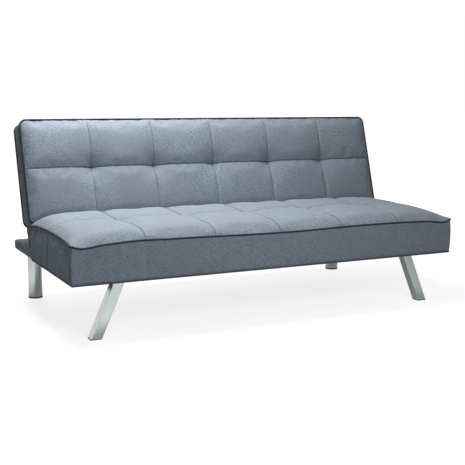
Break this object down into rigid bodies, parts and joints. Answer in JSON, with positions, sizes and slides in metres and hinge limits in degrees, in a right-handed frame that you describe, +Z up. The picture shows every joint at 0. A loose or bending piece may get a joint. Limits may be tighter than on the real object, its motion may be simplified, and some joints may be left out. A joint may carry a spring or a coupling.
{
  "type": "futon sofa bed",
  "caption": "Armless upholstered sofa whose tufted back folds down level with the seat over a rear support box to make a bed; splayed chrome front legs and round rear legs.",
  "frame": {"origin": "on the floor under the middle of the object's box", "axes": "+X to the right of someone facing the front, +Y to the rear, +Z up"},
  "size_m": [1.68, 0.84, 0.7669],
  "materials": {
    "heather_cloth": "matte",
    "rear_cloth": "matte",
    "navy_piping": "matte",
    "dust_cloth": "matte",
    "webbing": "matte",
    "foam": "matte",
    "pine": "matte",
    "plywood": "matte",
    "chrome": "polished",
    "zinc_steel": "satin",
    "black_steel": "satin",
    "black_plastic": "matte"
  },
  "bodies": {
    "base": {"seat_front_rail": "pine", "seat_rear_rail": "pine", "seat_side_rail_left": "pine", "seat_side_rail_right": "pine", "seat_cross_rails": "pine", "seat_corner_blocks": "pine", "front_leg_board": "plywood", "seat_webbing_long": "webbing", "seat_webbing_cross": "webbing", "seat_foam": "foam", "seat_cover": "heather_cloth", "seat_piping": "navy_piping", "seat_dust_cover": "dust_cloth", "box_front_rail": "pine", "box_rear_rail": "pine", "box_side_rails": "pine", "rear_leg_blocks": "pine", "box_top_board": "plywood", "box_pad": "foam", "box_cover": "heather_cloth", "box_dust_cover": "dust_cloth", "joining_bolts": "zinc_steel", "joining_nuts": "zinc_steel", "front_leg_left": "chrome", "front_leg_right": "chrome", "front_foot_cap_left": "black_plastic", "front_foot_cap_right": "black_plastic", "front_leg_screws": "zinc_steel", "rear_leg_left": "chrome", "rear_leg_right": "chrome", "rear_foot_cap_left": "black_plastic", "rear_foot_cap_right": "black_plastic", "rear_leg_screws": "zinc_steel", "hinge_plate_left": "black_steel", "hinge_plate_right": "black_steel", "hinge_plate_bolts": "zinc_steel"},
    "back": {"back_bottom_rail": "pine", "back_top_rail": "pine", "back_stile_left": "pine", "back_stile_right": "pine", "back_middle_stiles": "pine", "back_webbing": "webbing", "back_foam": "foam", "back_cover": "heather_cloth", "back_front_piping": "navy_piping", "back_rear_piping": "navy_piping", "back_rear_panel": "rear_cloth", "hinge_arm_left": "black_steel", "hinge_arm_right": "black_steel", "hinge_arm_bolts": "zinc_steel", "hinge_rivet_left": "zinc_steel", "hinge_rivet_right": "zinc_steel", "pawl_pins": "zinc_steel", "pawl_spring_left": "zinc_steel", "pawl_spring_right": "zinc_steel"},
    "pawl_left": {"pawl_left": "zinc_steel"},
    "pawl_right": {"pawl_right": "zinc_steel"}
  },
  "joints": [
    {"name": "back_recline", "type": "hinge", "parent": "base", "child": "back", "pos_m": [0, 0.155, 0.328], "axis": [-1, 0, 0], "range_deg": [0, 72.5]},
    {"name": "pawl_lift_left", "type": "hinge", "parent": "back", "child": "pawl_left", "pos_m": [-0.798, 0.18384, 0.3187], "axis": [-1, 0, 0], "range_deg": [-16, 0]},
    {"name": "pawl_lift_right", "type": "hinge", "parent": "back", "child": "pawl_right", "pos_m": [0.798, 0.18384, 0.3187], "axis": [-1, 0, 0], "range_deg": [-16, 0]}
  ]
}
